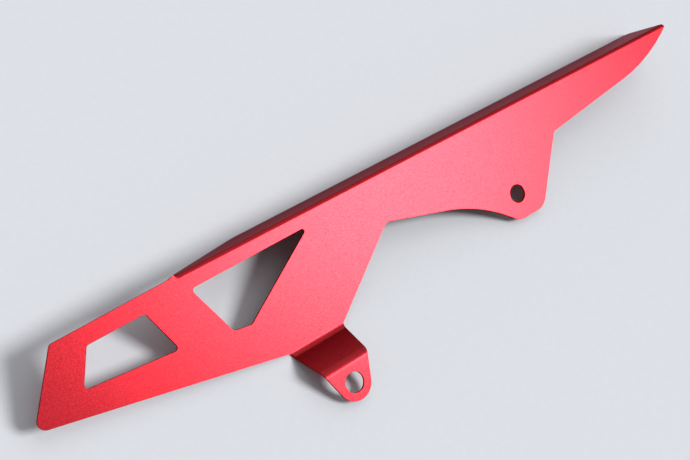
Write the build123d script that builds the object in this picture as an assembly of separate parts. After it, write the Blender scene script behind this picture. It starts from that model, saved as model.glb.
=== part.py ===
from build123d import *
import math
import os

# Motorcycle chain guard folded from one aluminium sheet, millimetres.
# It is drawn flat side first: X runs along the top fold to the tail, Y up the side plate
# to the fold, Z out of the plate's outer face. At the end it is laid down as it rests on a floor.

# Sheet and folds
sheet_thickness = 1.5
fold_inner_radius = 1.0

# Side plate, front end
front_end_setback = 25.3
front_end_drop = 37.8
front_top_drop = 1.6
front_lower_corner_radius = 4.5
front_upper_corner_radius = 3.0

# Side plate, foot that carries the ear
foot_front = 140.9
foot_width = 37.2
foot_past_fold = 0.7

# Side plate, leg and brow between the foot and the lobe
leg_run = 52.8
brow_corner_drop = 29.2
brow_corner_radius = 6.0
brow_length = 41.5
brow_slope_deg = 15.8
scoop_length = 48.6

# Side plate, lobe that carries the rear hole
lobe_drop = 70.0
lobe_width = 22.2
lobe_corner_radius = 12.0
lobe_heel_run = 30.8

# Side plate, tail
tail_length = 127.5
tail_bow_length = 54.5
tail_root_drop = 30.0
tail_root_radius = 4.0
tail_slope_deg = 6.8

# Top flange
flange_start = 99.0
flange_start_drop = 0.3
flange_lip_run = 4.0
flange_lip_rise = 1.3
flange_lip_radius = 8.0
flange_toe_run = 2.6
flange_toe_depth = 8.6
flange_slant_run = 53.0
flange_front_depth = 35.0
flange_rear_depth = 43.4
flange_rear_overhang = 8.5
flange_front_corner_radius = 14.0
flange_rear_corner_radius = 3.0

# Windows in the side plate
window_top_drop = 10.9
window_top_slope_deg = 0.63
window_corner_radius = 2.0
window_tip_radius = 1.4
front_window_margin = 16.5
front_window_top_length = 34.2
front_window_foot_shift = -11.1
front_window_foot_length = 54.2
front_window_height = 19.6
front_window_foot_fall = 5.5
window_strut_width = 28.1
rear_window_top_length = 79.2
rear_window_foot_shift = 12.2
rear_window_foot_length = 11.0
rear_window_height = 31.3
rear_window_foot_fall = 1.8

# Ear, stepped out of the plate on a web
ear_fold_drop = 70.2
ear_step = 21.0
ear_web_run = 12.7
ear_taper = 3.2
ear_bend_inner_radius = 4.0
ear_end_radius = 10.6
ear_hole_from_fold = 25.4

# Bolt holes
bolt_hole_diameter = 11.8
rear_hole_setback = 6.4
rear_hole_margin = 16.1

# Folds
fold_outer_radius = fold_inner_radius + sheet_thickness
ear_bend_outer_radius = ear_bend_inner_radius + sheet_thickness
web_angle = math.atan2(ear_step, ear_web_run)
half_turn_ratio = math.tan(web_angle / 2)
ear_fold_setback = ear_bend_inner_radius * half_turn_ratio

# Stations along the fold, from the front to the tail
foot_rear = foot_front + foot_width
brow_corner = foot_rear + leg_run
brow_end = brow_corner + brow_length
lobe_front = brow_end + scoop_length
lobe_rear = lobe_front + lobe_width
tail_root_x = lobe_rear + lobe_heel_run
tail_end = tail_root_x + tail_length
tail_bow_start = tail_end - tail_bow_length
flange_front_corner = flange_start + flange_slant_run
flange_rear_corner = tail_end + flange_rear_overhang
front_window_start = front_end_setback + front_window_margin
rear_window_start = front_window_start + front_window_top_length + window_strut_width
ear_neck_front = foot_front + ear_taper
ear_neck_rear = foot_rear - ear_taper
ear_centre_x = foot_front + foot_width / 2
rear_hole_x = lobe_front + rear_hole_setback

# Drops below the flange's outer face
brow_slope = math.radians(brow_slope_deg)
tail_slope = math.radians(tail_slope_deg)
window_top_slope = math.radians(window_top_slope_deg)
ear_fold_start = ear_fold_drop - ear_fold_setback
foot_drop = ear_fold_start + foot_past_fold
brow_end_drop = brow_corner_drop + brow_length * math.tan(brow_slope)
tail_bow_drop = tail_root_drop - (tail_bow_start - tail_root_x) * math.tan(tail_slope)
ear_neck_drop = ear_fold_drop + ear_web_run
ear_hole_drop = ear_fold_drop + ear_hole_from_fold
rear_hole_drop = lobe_drop - rear_hole_margin


def nearest(face, x, y):
    """The corner of a flat face that lies nearest to a point."""
    return face.vertices().sort_by_distance((x, y, 0))[0]


def rounded(face, x, y, radius):
    """The face with one of its corners rounded."""
    return fillet(nearest(face, x, y), radius)


def at_fold_start(corner, end):
    """Where an edge that leaves a corner of the foot meets the line on which the ear's fold starts."""
    share = (-ear_fold_start - corner[1]) / (end[1] - corner[1])
    return (corner[0] + share * (end[0] - corner[0]), -ear_fold_start)


# Side plate: one closed outline, with a lip that rises into the fold, a scoop before the lobe
# and a bowed underside at the tail
front_upper = (front_end_setback, -front_top_drop)
lip_root = (flange_start - flange_lip_run, -flange_start_drop)
lip_tip = (flange_start, flange_lip_rise - flange_start_drop)
fold_foot = (flange_start, -fold_outer_radius)
tail_tip = (tail_end, -fold_outer_radius)
tail_bow = (tail_bow_start, -tail_bow_drop)
tail_root = (tail_root_x, -tail_root_drop)
lobe_heel = (lobe_rear, -lobe_drop)
lobe_toe = (lobe_front, -lobe_drop)
brow_tip = (brow_end, -brow_end_drop)
brow_root = (brow_corner, -brow_corner_drop)
foot_heel = (foot_rear, -foot_drop)
foot_toe = (foot_front, -foot_drop)
front_lower = (0, -front_end_drop)
fold_heel = at_fold_start(foot_heel, brow_root)
fold_toe = at_fold_start(foot_toe, front_lower)

outline = [
    Polyline(front_upper, lip_root, lip_tip, fold_foot, tail_tip),
    TangentArc(tail_bow, tail_tip, tangent=(math.cos(tail_slope), math.sin(tail_slope))),
    Polyline(tail_bow, tail_root, lobe_heel, lobe_toe),
    TangentArc(brow_tip, lobe_toe, tangent=(math.cos(brow_slope), -math.sin(brow_slope))),
    Polyline(brow_tip, brow_root, fold_heel, fold_toe, front_lower, front_upper),
]
plate_face = make_face(outline)
plate_face = rounded(plate_face, *front_lower, front_lower_corner_radius)
plate_face = rounded(plate_face, *front_upper, front_upper_corner_radius)
plate_face = rounded(plate_face, *lip_root, flange_lip_radius)
plate_face = rounded(plate_face, *brow_root, brow_corner_radius)
plate_face = rounded(plate_face, *lobe_toe, lobe_corner_radius)
plate_face = rounded(plate_face, *lobe_heel, lobe_corner_radius)
plate_face = rounded(plate_face, *tail_root, tail_root_radius)


def window_top(x):
    """Height of the line that both windows hang from, which rises a little to the rear."""
    return (x - front_window_start) * math.tan(window_top_slope) - window_top_drop


def window(start, top_length, foot_shift, foot_length, height, foot_fall, rear_radius):
    """A four-sided opening that hangs from the windows' top line, with rounded corners."""
    foot_start = start + foot_shift
    foot_height = window_top(start) - height
    top_front = (start, window_top(start))
    top_rear = (start + top_length, window_top(start + top_length))
    foot_rear_corner = (foot_start + foot_length, foot_height - foot_fall)
    foot_front_corner = (foot_start, foot_height)
    opening = make_face(
        Polyline(top_front, top_rear, foot_rear_corner, foot_front_corner, close=True)
    )
    opening = rounded(opening, *top_front, window_corner_radius)
    opening = rounded(opening, *top_rear, rear_radius)
    opening = rounded(opening, *foot_rear_corner, window_corner_radius)
    return rounded(opening, *foot_front_corner, window_corner_radius)


front_window = window(
    front_window_start,
    front_window_top_length,
    front_window_foot_shift,
    front_window_foot_length,
    front_window_height,
    front_window_foot_fall,
    window_corner_radius,
)
rear_window = window(
    rear_window_start,
    rear_window_top_length,
    rear_window_foot_shift,
    rear_window_foot_length,
    rear_window_height,
    rear_window_foot_fall,
    window_tip_radius,
)
rear_hole = Pos(rear_hole_x, -rear_hole_drop) * Circle(bolt_hole_diameter / 2)

plate_face = plate_face - front_window - rear_window - rear_hole
plate = extrude(plate_face, sheet_thickness, dir=(0, 0, -1))

# Top fold: a quarter turn of the sheet from the plate into the flange
fold_section = Plane.YZ * make_face(
    [
        CenterArc((-fold_outer_radius, -fold_outer_radius), fold_outer_radius, 0, 90),
        Line((-fold_outer_radius, 0), (-fold_outer_radius, -sheet_thickness)),
        CenterArc((-fold_outer_radius, -fold_outer_radius), fold_inner_radius, 0, 90),
        Line((-sheet_thickness, -fold_outer_radius), (0, -fold_outer_radius)),
    ]
)
top_fold = Pos(flange_start, 0, 0) * extrude(fold_section, tail_end - flange_start, dir=(1, 0, 0))

# Flange: behind a short toe it opens on a long slant, and it grows deeper to the rear
flange_edge = Polyline(
    (flange_start, -fold_outer_radius),
    (tail_end, -fold_outer_radius),
    (flange_rear_corner, -flange_rear_depth),
    (flange_front_corner, -flange_front_depth),
    (flange_start + flange_toe_run, -flange_toe_depth),
    close=True,
)
flange_face = make_face(flange_edge)
flange_face = rounded(
    flange_face, flange_rear_corner, -flange_rear_depth, flange_rear_corner_radius
)
flange_face = rounded(
    flange_face, flange_front_corner, -flange_front_depth, flange_front_corner_radius
)
flange = extrude(Plane.XZ * flange_face, sheet_thickness, dir=(0, -1, 0))

# Ear: web and bolt pad are one strip bent twice, cut to the ear's outline seen square to the plate.
# Its first fold starts just above the foot's corners.
pad_end = ear_hole_drop + ear_end_radius * 2
back_shift = sheet_thickness * half_turn_ratio
strip_root = ear_fold_start - sheet_thickness
strip_edge = Polyline(
    (-strip_root, 0),
    (-ear_fold_drop, 0),
    (-ear_neck_drop, ear_step),
    (-pad_end, ear_step),
    (-pad_end, ear_step - sheet_thickness),
    (-ear_neck_drop - back_shift, ear_step - sheet_thickness),
    (-ear_fold_drop - back_shift, -sheet_thickness),
    (-strip_root, -sheet_thickness),
    close=True,
)
strip_face = make_face(strip_edge)
strip_face = rounded(strip_face, -ear_fold_drop, 0, ear_bend_inner_radius)
strip_face = rounded(strip_face, -ear_fold_drop - back_shift, -sheet_thickness, ear_bend_outer_radius)
strip_face = rounded(strip_face, -ear_neck_drop, ear_step, ear_bend_outer_radius)
strip_face = rounded(
    strip_face, -ear_neck_drop - back_shift, ear_step - sheet_thickness, ear_bend_inner_radius
)
strip = extrude(Plane.YZ * strip_face, tail_end, dir=(1, 0, 0))


def pad_tangent(neck_x, side):
    """Where a side of the ear, drawn from its neck, runs into the round end."""
    across = neck_x - ear_centre_x
    up = ear_hole_drop - ear_neck_drop
    turn = math.atan2(up, across) + side * math.acos(ear_end_radius / math.hypot(across, up))
    return (
        ear_centre_x + ear_end_radius * math.cos(turn),
        -ear_hole_drop + ear_end_radius * math.sin(turn),
    )


pad_front = pad_tangent(ear_neck_front, 1)
pad_rear = pad_tangent(ear_neck_rear, -1)
pad_foot = (ear_centre_x, -ear_hole_drop - ear_end_radius)
ear_face = make_face(
    [
        Polyline(
            pad_front,
            (ear_neck_front, -ear_neck_drop),
            foot_toe,
            fold_toe,
            fold_heel,
            foot_heel,
            (ear_neck_rear, -ear_neck_drop),
            pad_rear,
        ),
        ThreePointArc(pad_rear, pad_foot, pad_front),
    ]
)
ear_hole = Pos(ear_centre_x, -ear_hole_drop) * Circle(bolt_hole_diameter / 2)
ear_reach = ear_step + sheet_thickness
ear = strip & extrude(ear_face - ear_hole, ear_reach, both=True)

guard = plate + top_fold + flange + ear

# Lying on a floor it stands on the flange's free edge and on the fold at the ear's foot.
# The floor meets that fold's round back at the front side of the ear.
edge_fall = (flange_rear_depth - flange_front_depth) / (flange_rear_corner - flange_front_corner)
edge_depth = flange_front_depth + (foot_front - flange_front_corner) * edge_fall
reach_y = ear_fold_start - sheet_thickness
reach_z = edge_depth + ear_bend_inner_radius
lean = math.atan2(reach_z, reach_y) - math.asin(ear_bend_outer_radius / math.hypot(reach_y, reach_z))
upright = Vector(edge_fall * math.cos(lean), math.sin(lean), math.cos(lean)).normalized()
along = (Vector(1, 0, 0) - upright * upright.X).normalized()
floor = Plane(origin=(0, 0, 0), x_dir=along, z_dir=upright)
laid = floor.to_local_coords(guard)
box = laid.bounding_box()
chain_guard = Pos(-box.center().X, -box.center().Y, -box.min.Z) * laid
chain_guard.label = "chain_guard"

os.makedirs("parts", exist_ok=True)
export_step(chain_guard, "parts/chain_guard.step")
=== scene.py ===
# %% [markdown]
# # A red chain guard, folded from one sheet
# The real guard is a single aluminium sheet, 1.5 mm thick. It is cut flat, folded along its top,
# stepped out at one ear, blasted with fine beads and anodised red. It lies on a studio floor.
# The CAD model fixes every size and the place it rests in. Here the same sheet is modelled again with
# rounder folds, broken edges and a finish, because the CAD mesh has few facets and one flat colour.

# %% Load the CAD model
import math

import bpy
from mathutils import Matrix, Quaternion, Vector
from mathutils.bvhtree import BVHTree


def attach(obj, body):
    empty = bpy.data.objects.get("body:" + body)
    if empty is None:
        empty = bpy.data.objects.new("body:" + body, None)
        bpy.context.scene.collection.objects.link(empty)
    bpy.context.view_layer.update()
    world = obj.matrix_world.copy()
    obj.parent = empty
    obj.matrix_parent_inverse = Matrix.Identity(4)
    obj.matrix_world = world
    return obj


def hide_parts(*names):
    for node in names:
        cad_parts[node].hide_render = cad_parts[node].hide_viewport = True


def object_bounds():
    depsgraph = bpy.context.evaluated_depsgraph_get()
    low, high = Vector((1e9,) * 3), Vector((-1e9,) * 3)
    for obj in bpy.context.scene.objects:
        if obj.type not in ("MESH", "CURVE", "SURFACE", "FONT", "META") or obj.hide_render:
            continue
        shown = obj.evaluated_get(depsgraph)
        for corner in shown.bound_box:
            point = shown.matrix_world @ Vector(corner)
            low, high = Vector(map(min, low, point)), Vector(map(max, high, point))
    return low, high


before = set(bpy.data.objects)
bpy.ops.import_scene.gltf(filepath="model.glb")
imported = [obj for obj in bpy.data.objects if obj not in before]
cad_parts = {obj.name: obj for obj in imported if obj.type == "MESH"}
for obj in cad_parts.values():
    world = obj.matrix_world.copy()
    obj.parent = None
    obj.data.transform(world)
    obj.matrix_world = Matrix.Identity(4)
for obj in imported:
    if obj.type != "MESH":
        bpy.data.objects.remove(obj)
cad_low, cad_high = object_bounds()

MM = 0.001  # one millimetre in metres


def in_mm(size):
    """A size in metres as rounded millimetres, to print."""
    return [round(v / MM, 2) for v in size]


print("CAD box in mm", in_mm(cad_high - cad_low))

# %% [markdown]
# ## The drawing board
# A sheet-metal worker starts from a flat drawing, so this lesson does too. On the drawing board one
# Blender unit is 1 mm, X runs along the top fold towards the tail, Y goes up the side plate to the
# fold, and Z comes out of the plate's outer face. The flange's outer face is at Y = 0, so places on
# the plate are given as drops below it. At the end the finished sheet is brought to metres and laid
# on the floor. The sizes are those of the CAD model.

# %% Sizes of the side plate, in millimetres
sheet_thickness = 1.5
fold_inner_radius = 1.0
fold_outer_radius = fold_inner_radius + sheet_thickness
bolt_hole_radius = 5.9

front_end_setback = 25.3
front_end_drop = 37.8
front_top_drop = 1.6
front_lower_corner_radius = 4.5
front_upper_corner_radius = 3.0

flange_start = 99.0
flange_start_drop = 0.3
lip_run = 4.0
lip_rise = 1.3
lip_radius = 8.0

foot_front = 140.9
foot_width = 37.2
foot_rear = foot_front + foot_width

leg_run = 52.8
brow_corner = foot_rear + leg_run
brow_corner_drop = 29.2
brow_corner_radius = 6.0
brow_length = 41.5
brow_slope = math.radians(15.8)
brow_end = brow_corner + brow_length
brow_end_drop = brow_corner_drop + brow_length * math.tan(brow_slope)

scoop_length = 48.6
lobe_front = brow_end + scoop_length
lobe_width = 22.2
lobe_rear = lobe_front + lobe_width
lobe_drop = 70.0
lobe_corner_radius = 12.0

lobe_heel_run = 30.8
tail_root_x = lobe_rear + lobe_heel_run
tail_root_drop = 30.0
tail_root_radius = 4.0
tail_slope = math.radians(6.8)
tail_length = 127.5
tail_end = tail_root_x + tail_length
tail_bow_length = 54.5
tail_bow_start = tail_end - tail_bow_length
tail_bow_drop = tail_root_drop - (tail_bow_start - tail_root_x) * math.tan(tail_slope)
print("plate runs from 0 to", round(tail_end, 1), "mm along the fold")

# %% Where the ear's first fold starts on the foot, in millimetres
ear_fold_drop = 70.2
ear_step = 21.0
ear_web_run = 12.7
ear_bend_inner_radius = 4.0
web_angle = math.atan2(ear_step, ear_web_run)
half_turn_ratio = math.tan(web_angle / 2)
ear_fold_start = ear_fold_drop - ear_bend_inner_radius * half_turn_ratio
foot_past_fold = 0.7
foot_drop = ear_fold_start + foot_past_fold
print("web will stand at", round(math.degrees(web_angle), 1), "degrees")

# %% [markdown]
# ## A pen made of operators
# An outline is drawn the way a hand would do it in edit mode. A point is set down, a straight side is
# that point extruded to the next place, and a rounded corner is the point spun round the corner's
# centre. A curve object could do the same, but points and spins give edges that the later fill,
# fold and weld can use at once. Spin turns clockwise for a positive angle, so the sign is changed.

# %% Pen helpers
ROUNDNESS = 0.008  # how far, in mm, a chord may leave its arc
FEWEST_CHORDS = 3
FULL_TURN = 2 * math.pi


def flat(point):
    """A drawing point (x, y) on the plate's outer face."""
    return Vector((point[0], point[1], 0))


def pen_down(place):
    """Sets one new point down in the mesh being edited, selected alone."""
    bpy.ops.mesh.select_all(action="DESELECT")
    bpy.ops.mesh.primitive_plane_add(size=1, location=place)
    bpy.ops.mesh.merge(type="CENTER")


def arc_steps(radius, turn):
    """How many chords an arc needs to look round."""
    largest = 2 * math.acos(1 - ROUNDNESS / radius)
    return max(FEWEST_CHORDS, math.ceil(abs(turn) / largest))


def draw(start, steps, axis=Vector((0, 0, 1))):
    """Draws from a point along (end, centre) steps. A step with no centre is straight."""
    pen_down(start)
    here = start
    for there, centre in steps:
        if centre is None:
            bpy.ops.mesh.extrude_vertices_move(TRANSFORM_OT_translate={"value": there - here})
        else:
            a, b = here - centre, there - centre
            turn = math.atan2(axis.dot(a.cross(b)), a.dot(b))
            bpy.ops.mesh.spin(
                steps=arc_steps(a.length, turn), angle=-turn, center=centre, axis=axis
            )
        here = there


def rounded_corner(before, corner, after, radius):
    """Where the arc round a corner starts, its centre, and where it ends."""
    a, b = (before - corner).normalized(), (after - corner).normalized()
    half = a.angle(b) / 2
    reach = radius / math.tan(half)
    centre = corner + (a + b).normalized() * (radius / math.sin(half))
    return corner + a * reach, centre, corner + b * reach


def sides(corners, place=flat):
    """Steps along straight sides, from the first corner on. A corner is (x, y) or (x, y, radius)."""
    steps = []
    for k, corner in enumerate(corners[1:], 1):
        here = place(corner)
        if len(corner) == 2:
            steps.append((here, None))
            continue
        enter, centre, leave = rounded_corner(
            place(corners[k - 1]), here, place(corners[k + 1]), corner[2]
        )
        steps += [(enter, None), (leave, centre)]
    return steps


def tangent_circle(start, tangent, end):
    """Centre of the arc that leaves start along tangent and reaches end."""
    across = Vector((-tangent.y, tangent.x, 0))
    chord = end - start
    return start + across * (chord.length_squared / (2 * across.dot(chord)))


print("a bolt hole is drawn with", arc_steps(bolt_hole_radius, FULL_TURN), "chords")

# %% [markdown]
# ## The side plate's outline
# The plate is the long red face in the picture: a swept front end, a foot for the ear, a brow, a scoop
# that runs into the round lobe, and a tail that bows up to a point. It could be cut out of a block
# with booleans, but one drawn outline gives exact corners and a clean edge all round.
# The scoop ends in the lobe's rounding, which touches both the scoop's circle and the lobe's foot line.

# %% Corners and arcs of the plate
front_upper = (front_end_setback, -front_top_drop)
front_lower = (0, -front_end_drop)
lip_root = (flange_start - lip_run, -flange_start_drop)
lip_tip = (flange_start, lip_rise - flange_start_drop)
lip_foot = (flange_start, -fold_outer_radius)
tail_tip = (tail_end, -fold_outer_radius)
tail_bow = (tail_bow_start, -tail_bow_drop)
tail_root = (tail_root_x, -tail_root_drop)
brow_tip = (brow_end, -brow_end_drop)
brow_root = (brow_corner, -brow_corner_drop)


def at_fold_start(foot_x, end):
    """Where an edge that leaves a corner of the foot meets the line on which the ear's fold starts."""
    share = foot_past_fold / (foot_drop + end[1])
    return foot_x + share * (end[0] - foot_x), -ear_fold_start


fold_heel = at_fold_start(foot_rear, brow_root)
fold_toe = at_fold_start(foot_front, front_lower)

bow_centre = tangent_circle(
    flat(tail_bow), flat((math.cos(tail_slope), math.sin(tail_slope))), flat(tail_tip)
)
scoop_centre = tangent_circle(
    flat(brow_tip),
    flat((math.cos(brow_slope), -math.sin(brow_slope))),
    flat((lobe_front, -lobe_drop)),
)
scoop_radius = (flat(brow_tip) - scoop_centre).length
toe_y = lobe_corner_radius - lobe_drop
toe_x = scoop_centre.x + math.sqrt(
    (scoop_radius + lobe_corner_radius) ** 2 - (toe_y - scoop_centre.y) ** 2
)
toe_centre = flat((toe_x, toe_y))
scoop_end = scoop_centre + (toe_centre - scoop_centre).normalized() * scoop_radius
print("scoop radius", round(scoop_radius, 1), "mm")

# %% Draw the plate's outline
bpy.ops.object.select_all(action="DESELECT")
bpy.ops.mesh.primitive_plane_add(size=1, location=(0, 0, 0))
guard = bpy.context.object
guard.name = guard.data.name = "anodised_guard"
bpy.ops.object.mode_set(mode="EDIT")
bpy.ops.mesh.select_mode(type="VERT")
bpy.ops.mesh.select_all(action="SELECT")
bpy.ops.mesh.delete(type="VERT")

draw(
    flat(lip_foot),
    [(flat(tail_tip), None), (flat(tail_bow), bow_centre)]
    + sides([
        tail_bow,
        (*tail_root, tail_root_radius),
        (lobe_rear, -lobe_drop, lobe_corner_radius),
        (toe_x, -lobe_drop),
    ])
    + [(scoop_end, toe_centre), (flat(brow_tip), scoop_centre)]
    + sides([
        brow_tip,
        (*brow_root, brow_corner_radius),
        fold_heel,
        fold_toe,
        (*front_lower, front_lower_corner_radius),
        (*front_upper, front_upper_corner_radius),
        (*lip_root, lip_radius),
        lip_tip,
        lip_foot,
    ]),
)
guard.update_from_editmode()
print("outline of", len(guard.data.vertices), "points")

# %% [markdown]
# ## Windows, bolt hole and the flat face
# Two four-sided windows lighten the plate, and a round hole takes the rear bolt. They are drawn as
# closed outlines inside the first one. Fill then spans the space between all of them, and a limited
# dissolve joins its triangles into a few large faces, so that the later bevel has clean borders.

# %% Corners of the windows, in millimetres
front_window_margin = 16.5
front_window_start = front_end_setback + front_window_margin
front_window_top_length = 34.2
window_strut_width = 28.1
window_top_drop = 10.9
window_top_slope = math.radians(0.63)
window_corner_radius = 2.0


def window_top(x):
    """Height of the line that both windows hang from, which rises a little to the rear."""
    return (x - front_window_start) * math.tan(window_top_slope) - window_top_drop


def window(start, top_length, foot_shift, foot_length, height, foot_fall, tip_radius):
    """A window's corners (x, y, radius): its top side to the rear, then its foot to the front."""
    top = window_top(start)
    tip = start + top_length
    foot = start + foot_shift
    return [
        (start, top, window_corner_radius),
        (tip, window_top(tip), tip_radius),
        (foot + foot_length, top - height - foot_fall, window_corner_radius),
        (foot, top - height, window_corner_radius),
    ]


front_window = window(
    start=front_window_start,
    top_length=front_window_top_length,
    foot_shift=-11.1,
    foot_length=54.2,
    height=19.6,
    foot_fall=5.5,
    tip_radius=window_corner_radius,
)
rear_window = window(
    start=front_window_start + front_window_top_length + window_strut_width,
    top_length=79.2,
    foot_shift=12.2,
    foot_length=11.0,
    height=31.3,
    foot_fall=1.8,
    tip_radius=1.4,
)
print("windows start", round(front_window[0][0], 1), "and", round(rear_window[0][0], 1), "mm along")

# %% Draw the windows and the rear hole, then fill the plate
WELD = 0.001  # mm between points that are made one
FLATNESS = math.radians(0.2)  # turn between faces that are made one
rear_hole_setback = 6.4
rear_hole_margin = 16.1


def draw_window(corners):
    """A closed four-sided opening, started in the middle of its first side."""
    (x0, y0, _), (x1, y1, _) = corners[:2]
    middle = ((x0 + x1) / 2, (y0 + y1) / 2)
    draw(flat(middle), sides([middle, *corners[1:], corners[0], middle]))


def draw_hole(centre):
    """A closed circle of the bolt hole's size."""
    bpy.ops.mesh.select_all(action="DESELECT")
    bpy.ops.mesh.primitive_circle_add(
        vertices=arc_steps(bolt_hole_radius, FULL_TURN),
        radius=bolt_hole_radius,
        location=centre,
        fill_type="NOTHING",
    )


draw_window(front_window)
draw_window(rear_window)
draw_hole(flat((lobe_front + rear_hole_setback, rear_hole_margin - lobe_drop)))
bpy.ops.mesh.select_all(action="SELECT")
bpy.ops.mesh.remove_doubles(threshold=WELD)
bpy.ops.mesh.fill(use_beauty=True)
bpy.ops.mesh.select_all(action="SELECT")
bpy.ops.mesh.dissolve_limited(angle_limit=FLATNESS)
guard.update_from_editmode()
print("plate:", len(guard.data.vertices), "points,", len(guard.data.polygons), "faces")

# %% [markdown]
# ## The top fold and the flange
# On the press the sheet is bent a quarter turn along the top, which leaves a soft outer radius that
# catches the light as a thin stripe. Spinning the plate's top edge about the fold's axis is that bend.
# The fold starts a little behind the lip, and a short bridge carries the flat lip over into it.
# The flange's outline is then drawn on its own plane, filled and welded to the fold.

# %% Selecting by place
SAME = 10 * WELD  # mm by which two places may differ and still be the same


def near(a, b):
    """Whether two lengths are the same on the drawing board."""
    return abs(a - b) < SAME


def select_edges(*tests):
    """Selects the edges whose two ends both pass one of the tests on a place, and counts them."""
    bpy.ops.mesh.select_mode(type="EDGE")
    bpy.ops.mesh.select_all(action="DESELECT")
    bpy.ops.object.mode_set(mode="OBJECT")
    count = 0
    for edge in guard.data.edges:
        ends = [guard.data.vertices[i].co for i in edge.vertices]
        if any(all(test(end) for end in ends) for test in tests):
            edge.select = True
            count += 1
    bpy.ops.object.mode_set(mode="EDIT")
    return count


def on_fold_line(p):
    """Whether a point lies on the line where the plate turns into the fold."""
    return near(p.y, -fold_outer_radius) and near(p.z, 0) and p.x > flange_start - WELD


print("edges on the fold line:", select_edges(on_fold_line))

# %% Spin the top edge into the fold
FOLD_STEPS = 10
fold_run_in = 2.5
fold_begin = flange_start + fold_run_in

select_edges(on_fold_line)
bpy.ops.mesh.subdivide(number_cuts=1)
bpy.ops.object.mode_set(mode="OBJECT")
for vertex in guard.data.vertices:
    at_an_end = near(vertex.co.x, flange_start) or near(vertex.co.x, tail_end)
    if on_fold_line(vertex.co) and not at_an_end:
        vertex.co.x = fold_begin
bpy.ops.object.mode_set(mode="EDIT")
folded = select_edges(lambda p: on_fold_line(p) and p.x > fold_begin - WELD)
bpy.ops.mesh.spin(
    steps=FOLD_STEPS,
    angle=math.radians(90),
    center=(0, -fold_outer_radius, -fold_outer_radius),
    axis=(1, 0, 0),
)
print("spun", folded, "edge into a fold of", FOLD_STEPS, "steps")

# %% Bridge the lip into the fold's open end
def on_lip_side(p):
    """Whether a point lies on the lip's upright side, next to the fold."""
    return near(p.x, flange_start) and near(p.z, 0) and p.y > -fold_outer_radius - WELD


def on_fold_end(p):
    """Whether a point lies on the open front end of the fold."""
    return near(p.x, fold_begin) and p.y > -fold_outer_radius - WELD


select_edges(on_lip_side)
bpy.ops.mesh.subdivide(number_cuts=FOLD_STEPS - 1)
bridged = select_edges(on_lip_side, on_fold_end)
bpy.ops.mesh.bridge_edge_loops()
print("bridged", bridged, "edges")

# %% Draw the flange and weld it to the fold
flange_toe_run = 2.6
flange_toe_depth = 8.6
flange_slant_run = 53.0
flange_front_corner = flange_start + flange_slant_run
flange_front_depth = 35.0
flange_front_corner_radius = 14.0
flange_rear_overhang = 8.5
flange_rear_corner = tail_end + flange_rear_overhang
flange_rear_depth = 43.4
flange_rear_corner_radius = 3.0


def on_flange(point):
    """A drawing point (x, z) on the flange's outer face."""
    return Vector((point[0], 0, point[1]))


fold_edge = -fold_outer_radius
bpy.ops.mesh.select_mode(type="VERT")
draw(
    on_flange((fold_begin, fold_edge)),
    sides([
        (fold_begin, fold_edge),
        (flange_start + flange_toe_run, -flange_toe_depth),
        (flange_front_corner, -flange_front_depth, flange_front_corner_radius),
        (flange_rear_corner, -flange_rear_depth, flange_rear_corner_radius),
        (tail_end, fold_edge),
    ], on_flange),
    axis=Vector((0, 1, 0)),
)
bpy.ops.mesh.select_all(action="SELECT")
bpy.ops.mesh.remove_doubles(threshold=WELD)
rim = select_edges(lambda p: near(p.y, 0) and p.z < fold_edge + SAME)
bpy.ops.mesh.edge_face_add()
print("flange rim of", rim, "edges")

# %% [markdown]
# ## The stepped ear
# At the foot the sheet is bent out and back again, so that the ear's bolt pad stands 21 mm in front of
# the plate on a sloping web. Each bend is a spin, done in small turns, and after each turn the edge is
# narrowed a little, because the ear tapers towards its round end. A solid block cut to shape would lose
# the even sheet thickness that makes it look folded.

# %% Sides of the ear, in millimetres
ear_taper = 3.2
ear_end_radius = 10.6
ear_centre_x = foot_front + foot_width / 2
ear_neck_drop = ear_fold_drop + ear_web_run
ear_hole_from_fold = 25.4
ear_hole_drop = ear_fold_drop + ear_hole_from_fold
foot_half = foot_width / 2
neck_half = foot_half - ear_taper
pad_up = ear_hole_drop - ear_neck_drop
neck_to_hole = math.hypot(neck_half, pad_up)
pad_turn = math.atan2(pad_up, neck_half) - math.acos(ear_end_radius / neck_to_hole)


def ear_side(fold_corner, hand):
    """Corners of the ear's rear side, hand 1, or front side, hand -1, from fold to round end."""
    return [
        fold_corner,
        (ear_centre_x + hand * foot_half, -foot_drop),
        (ear_centre_x + hand * neck_half, -ear_neck_drop),
        (
            ear_centre_x + hand * ear_end_radius * math.cos(pad_turn),
            ear_end_radius * math.sin(pad_turn) - ear_hole_drop,
        ),
    ]


def side_at(side, y):
    """Where a side of the ear is at a height, seen square to the plate."""
    for (x0, y0), (x1, y1) in zip(side, side[1:]):
        if y >= y1 - WELD:
            return x0 + (x1 - x0) * (y0 - y) / (y0 - y1)


rear_side = ear_side(fold_heel, 1)
front_side = ear_side(fold_toe, -1)
print("ear is", round(2 * neck_half, 1), "mm wide at its neck")

# %% Bending helpers
BEND_STEP = math.radians(7.5)
STEP_SLACK = 0.05  # share of a step that a bend may stretch before it gets one more


def narrow(y_from, y_to):
    """Fits the edge that was just made to both sides of the ear at its own height."""
    front, rear = side_at(front_side, y_from), side_at(rear_side, y_from)
    new_front, new_rear = side_at(front_side, y_to), side_at(rear_side, y_to)
    ratio = (new_rear - new_front) / (rear - front)
    still = (new_front - ratio * front) / (1 - ratio)
    bpy.ops.transform.resize(value=(ratio, 1, 1), center_override=(still, 0, 0))


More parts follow.
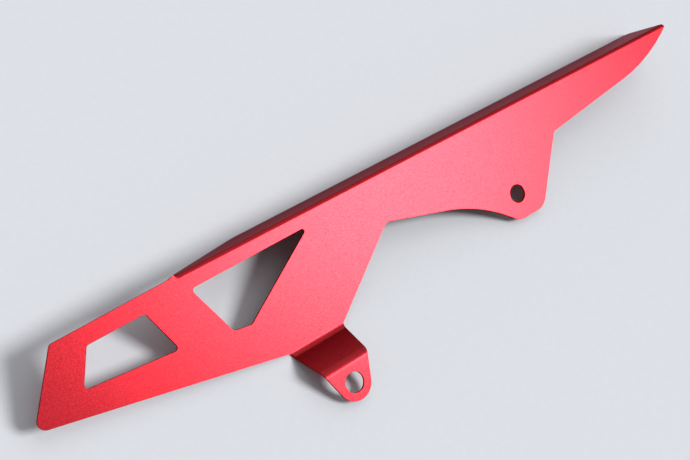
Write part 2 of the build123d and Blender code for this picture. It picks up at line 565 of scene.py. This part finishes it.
def bend(y, z, centre_y, centre_z, turn):
    """A bend of the strip in small turns, from a point round a centre. Returns where it ends."""
    count = math.ceil(abs(turn) / BEND_STEP - STEP_SLACK)
    step = turn / count
    for _ in range(count):
        bpy.ops.mesh.spin(steps=1, angle=-step, center=(0, centre_y, centre_z), axis=(1, 0, 0))
        out_y, out_z = y - centre_y, z - centre_z
        y_next = centre_y + out_y * math.cos(step) - out_z * math.sin(step)
        z = centre_z + out_y * math.sin(step) + out_z * math.cos(step)
        narrow(y, y_next)
        y = y_next
    return y, z


print("a bend turns by", round(math.degrees(BEND_STEP), 1), "degrees at a time")

# %% Fold the web out of the foot and back
ear_bend_outer_radius = ear_bend_inner_radius + sheet_thickness
outer_reach = ear_bend_outer_radius * half_turn_ratio
web_end_y = -ear_neck_drop + outer_reach * math.cos(web_angle)
web_end_z = ear_step - outer_reach * math.sin(web_angle)
to_corners = math.asin(foot_past_fold / ear_bend_inner_radius)
first_centre = (-ear_fold_start, ear_bend_inner_radius)
second_centre = (
    web_end_y - ear_bend_outer_radius * math.sin(web_angle),
    web_end_z - ear_bend_outer_radius * math.cos(web_angle),
)

select_edges(lambda p: near(p.y, -ear_fold_start))
foot_y, foot_z = bend(-ear_fold_start, 0, *first_centre, -to_corners)
web_y, web_z = bend(foot_y, foot_z, *first_centre, to_corners - web_angle)
bpy.ops.mesh.extrude_edges_move(
    TRANSFORM_OT_translate={"value": (0, web_end_y - web_y, web_end_z - web_z)}
)
narrow(web_y, web_end_y)
pad_y, pad_z = bend(web_end_y, web_end_z, *second_centre, web_angle)
print("bolt pad", round(pad_z, 3), "mm in front of the plate, from a drop of", round(-pad_y, 2), "mm")

# %% Draw the bolt pad and its hole, and weld them on
def on_pad(point):
    """A drawing point (x, y) on the bolt pad's outer face."""
    return Vector((point[0], point[1], ear_step))


def at_pad_height(p):
    """Whether a point is as far out as the bolt pad."""
    return near(p.z, ear_step)


pad_hole = on_pad((ear_centre_x, -ear_hole_drop))

bpy.ops.mesh.select_mode(type="VERT")
draw(
    on_pad((side_at(rear_side, pad_y), pad_y)),
    [
        (on_pad(rear_side[-1]), None),
        (on_pad(front_side[-1]), pad_hole),
        (on_pad((side_at(front_side, pad_y), pad_y)), None),
    ],
)
draw_hole(pad_hole)
bpy.ops.mesh.select_all(action="SELECT")
bpy.ops.mesh.remove_doubles(threshold=SAME)
rim = select_edges(at_pad_height)
bpy.ops.mesh.fill(use_beauty=True)
select_edges(at_pad_height)
bpy.ops.mesh.dissolve_limited(angle_limit=FLATNESS)
print("pad rim of", rim, "edges")

# %% [markdown]
# ## Thickness and broken edges
# So far the guard is only the sheet's outer skin. Solidify gives it the real 1.5 mm towards the back,
# as even through the bends as a press leaves it. The shop then breaks every cut edge before blasting,
# and a narrow bevel does that here. It is what lets the rims catch a fine line of light.
# Weighted normals keep the big faces flat in the shading while the bevels turn.

# %% Give the sheet its thickness
bpy.ops.mesh.select_mode(type="FACE")
bpy.ops.mesh.select_all(action="SELECT")
bpy.ops.mesh.normals_make_consistent(inside=False)
guard.update_from_editmode()
largest = max(guard.data.polygons, key=lambda face: face.area)
if largest.normal.z < 0:
    bpy.ops.mesh.flip_normals()
bpy.ops.object.mode_set(mode="OBJECT")

thicken = guard.modifiers.new("sheet", "SOLIDIFY")
thicken.thickness = sheet_thickness
thicken.offset = -1
thicken.use_even_offset = True
thicken.use_quality_normals = True
bpy.ops.object.modifier_apply(modifier=thicken.name)
print("sheet:", len(guard.data.vertices), "points,", len(guard.data.polygons), "faces")

# %% [markdown]
# ## Lying on the floor
# Put down on a bench, the guard rests on the flange's free edge and on the round of the ear's first
# bend, and the plate leans between them. It could be turned by eye until it touches, but both rests
# follow from the sizes, so the lean is worked out and the sheet is set in the CAD model's place.
# The bevel is applied first, while its width is still in millimetres.

# %% Find the way it lies on the floor
edge_fall = (flange_rear_depth - flange_front_depth) / (flange_rear_corner - flange_front_corner)
edge_depth = flange_front_depth + (foot_front - flange_front_corner) * edge_fall
reach_y = ear_fold_start - sheet_thickness
reach_z = edge_depth + ear_bend_inner_radius
reach = math.hypot(reach_y, reach_z)
lean = math.atan2(reach_z, reach_y) - math.asin(ear_bend_outer_radius / reach)
upright = Vector((edge_fall * math.cos(lean), math.sin(lean), math.cos(lean))).normalized()
along = (Vector((1, 0, 0)) - upright * upright.x).normalized()
turn_down = Matrix((along, upright.cross(along), upright))

laid = [turn_down @ v.co * MM for v in guard.data.vertices]
low = Vector(min(p[k] for p in laid) for k in range(3))
high = Vector(max(p[k] for p in laid) for k in range(3))
shift = (cad_low + cad_high) / 2 - (low + high) / 2
shift.z = cad_low.z - low.z
lay_down = Matrix.Translation(shift) @ turn_down.to_4x4() @ Matrix.Scale(MM, 4)
print("leans", round(math.degrees(lean), 2), "degrees; box in mm", in_mm(high - low))

# %% Break the edges and lay the guard down
CUT_EDGE = math.radians(35)  # least turn at an edge that is broken
SHARP_EDGE = math.radians(40)  # least turn at an edge that stays sharp in the shading

edge_break = guard.modifiers.new("broken_edges", "BEVEL")
edge_break.width = 0.2
edge_break.segments = 3
edge_break.limit_method = "ANGLE"
edge_break.angle_limit = CUT_EDGE
edge_break.use_clamp_overlap = False
bpy.ops.object.modifier_apply(modifier=edge_break.name)
guard.data.transform(lay_down)
bpy.ops.object.shade_smooth_by_angle(angle=SHARP_EDGE)
flat_faces = guard.modifiers.new("flat_faces", "WEIGHTED_NORMAL")
flat_faces.keep_sharp = True
bpy.ops.object.modifier_apply(modifier=flat_faces.name)

cad_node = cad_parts["chain_guard"]
cad_skin = BVHTree.FromObject(cad_node, bpy.context.evaluated_depsgraph_get())
away = [cad_skin.find_nearest(v.co)[3] / MM for v in guard.data.vertices]
print("furthest from the CAD skin", round(max(away), 3), "mm")
print("on average", round(sum(away) / len(away), 4), "mm")

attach(guard, "root")
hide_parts("chain_guard")

# %% [markdown]
# ## The finish
# Blasting with fine beads leaves a soft, even grain. Anodising then grows a clear oxide skin full of
# red dye over the metal. So there are two reflections: the strong coloured one of the metal below, and
# a weak white one of the skin on top, which shows most at a slant. Where a lamp is mirrored, red is
# already as bright as a picture can hold, so the little green and blue in the dye turn it pink. Paint
# would be a plastic colour with one white gloss. Here the shader is a metal with a coat. Shader maths
# is written with a small class, so that a line such as 0.5 + 0.2 * grain adds the Math nodes by itself.

# %% A wire through a material
class Wire:
    """An output socket. Sums of wires and numbers add Math nodes to the material."""

    def __init__(self, socket):
        self.socket = socket

    def add(self, kind, settings, sockets, output=0):
        """Adds any node: its settings first, then the values or links of its sockets."""
        tree = self.socket.id_data
        node = tree.nodes.new(kind)
        for name, value in settings.items():
            setattr(node, name, value)
        for name, value in sockets.items():
            if isinstance(value, Wire):
                tree.links.new(value.socket, node.inputs[name])
            else:
                node.inputs[name].default_value = value
        return Wire(node.outputs[output]) if node.outputs else None

    def maths(self, operation, first, second):
        return self.add("ShaderNodeMath", {"operation": operation}, {0: first, 1: second})

    def __add__(self, other):
        return self.maths("ADD", self, other)

    def __sub__(self, other):
        return self.maths("SUBTRACT", self, other)

    def __rsub__(self, other):
        return self.maths("SUBTRACT", other, self)

    def __mul__(self, other):
        return self.maths("MULTIPLY", self, other)

    __radd__ = __add__
    __rmul__ = __mul__


# %% Helpers for both materials
def new_material(name):
    """An empty material, and a wire with the Object coordinates in metres."""
    material = bpy.data.materials.new(name)
    material.use_nodes = True
    material.node_tree.nodes.clear()
    print("material:", name)
    return material, Wire(material.node_tree.nodes.new("ShaderNodeTexCoord").outputs["Object"])


def noise(place, size, detail=2.0):
    """Noise with spots of a size in metres, round about 0.5."""
    return place.add(
        "ShaderNodeTexNoise", {}, {"Vector": place, "Scale": 1 / size, "Detail": detail}, "Fac"
    )


# A Mix node has sockets for numbers, vectors and colours under the same names, so it goes by number.
MIX_SHARE, MIX_FIRST, MIX_SECOND, MIX_RESULT = 0, 6, 7, 2


def mix_colours(share, first, second):
    """A colour between two others, by a share from 0 to 1."""
    sockets = {MIX_SHARE: share, MIX_FIRST: first, MIX_SECOND: second}
    return share.add("ShaderNodeMix", {"data_type": "RGBA"}, sockets, MIX_RESULT)


# %% Red anodised, bead-blasted aluminium
thin_dye = (0.275, 0.0066, 0.0128, 1)
deep_dye = (0.425, 0.0102, 0.0198, 1)

anodised, place = new_material("red_anodised_aluminium")
grain = noise(place, size=0.0005)
pits = noise(place, size=0.0008)
clouds = noise(place, size=0.055)

# Each line starts from a middle value. The factors say how far each noise moves it.
speckle = 0.6 * (grain - 0.5) + 0.4 * (pits - 0.5)
dye = mix_colours(0.5 + 2.5 * speckle + 0.4 * (clouds - 0.5), thin_dye, deep_dye)
roughness = 0.325 + 0.09 * (pits - 0.5) + 0.04 * (clouds - 0.5)
skin = 0.094 + 0.32 * speckle
relief = place.add(
    "ShaderNodeBump", {}, {"Strength": 0.2, "Distance": 0.0002, "Height": grain + 0.7 * pits}
)
metal = place.add(
    "ShaderNodeBsdfPrincipled",
    {},
    {
        "Base Color": dye,
        "Metallic": 1.0,
        "Roughness": roughness,
        "Specular Tint": (0.36, 0.03, 0.14, 1),
        "Normal": relief,
        "Coat Weight": skin,
        "Coat Roughness": 0.29,
        "Coat IOR": 2.0,
    },
)
metal.add("ShaderNodeOutputMaterial", {}, {"Surface": metal})
guard.data.materials.append(anodised)
print("finish has", len(anodised.node_tree.nodes), "nodes")

# %% [markdown]
# ## The studio
# The guard lies on a plain pale floor. The key softbox stands behind the camera's right shoulder,
# where the plate mirrors it, so the sheen is strongest in the middle of the plate and fades to both
# ends. A broad weak softbox above and a weaker one behind give the round of each bend something pale
# to mirror, or the bends would turn black. The flange is turned away from the key and stays dark.
# A single small lamp would give a hard shadow and a hot spot that the finish does not show. Area lamps
# close by would burn a white patch into the floor below them, so each softbox is a sun lamp with a
# wide angle, which lights the whole floor alike.

# %% Floor
floor_size = 40
paper_hollow = (0.70, 0.72, 0.76, 1)
paper_fibre = (0.74, 0.76, 0.80, 1)

bpy.ops.object.select_all(action="DESELECT")
bpy.ops.mesh.primitive_plane_add(size=floor_size, location=(0, 0, 0))
floor = bpy.context.object
floor.name = "floor"
paper, place = new_material("pale_paper")
tone = mix_colours(noise(place, size=0.004, detail=3.0), paper_hollow, paper_fibre)
matt = place.add("ShaderNodeBsdfPrincipled", {}, {"Base Color": tone, "Roughness": 0.9})
matt.add("ShaderNodeOutputMaterial", {}, {"Surface": matt})
floor.data.materials.append(paper)
print("floor is", floor_size, "m wide")

# %% Softboxes and the room's light
def softbox(name, direction, wide_deg, strength):
    """A round softbox far away in a direction, some degrees wide as the guard sees it."""
    lamp = bpy.data.lights.new(name, "SUN")
    lamp.angle = math.radians(wide_deg)
    lamp.energy = strength
    stand = bpy.data.objects.new(name, lamp)
    toward = Vector(direction).normalized()
    stand.location = toward
    stand.rotation_euler = toward.to_track_quat("Z", "Y").to_euler()
    bpy.context.scene.collection.objects.link(stand)
    print(name, "is", wide_deg, "degrees wide")


softbox("key_softbox", direction=(0.493, -0.466, 0.735), wide_deg=19.5, strength=2.5)
softbox("top_softbox", direction=(0.43, 0.14, 0.89), wide_deg=55, strength=0.52)
softbox("back_softbox", direction=(0.40, 0.82, 0.42), wide_deg=45, strength=0.32)

room = bpy.data.worlds.new("room")
room.use_nodes = True
walls = room.node_tree.nodes["Background"]
walls.inputs["Color"].default_value = (0.95, 0.97, 1.0, 1)
walls.inputs["Strength"].default_value = 0.24
bpy.context.scene.world = room
bpy.context.scene.view_settings.view_transform = "Standard"

# %% [markdown]
# ## The camera
# The picture looks down on the guard at a slant, with the camera rolled so that the guard climbs to
# the right. The place, the roll and the lens were found by matching the corners of the plate in the
# picture with the same corners of the CAD model, which a guess by eye would not have reached.

# %% Camera
camera_lens = 55.56
camera_roll = math.radians(29.62)
camera_place = Vector((-347.71, -133.58, 539.54)) * MM
camera_aim = Vector((-48.09, 25.92, 15.0)) * MM

camera = bpy.data.objects.new("camera", bpy.data.cameras.new("camera"))
camera.data.lens = camera_lens
camera.data.sensor_width = 36
camera.data.clip_start = 0.01
camera.location = camera_place
look = (camera_aim - camera_place).to_track_quat("-Z", "Y")
camera.rotation_euler = (look @ Quaternion((0, 0, 1), camera_roll)).to_euler()
bpy.context.scene.collection.objects.link(camera)
bpy.context.scene.camera = camera
print("camera stands", round((camera_aim - camera_place).length, 3), "m from its aim")
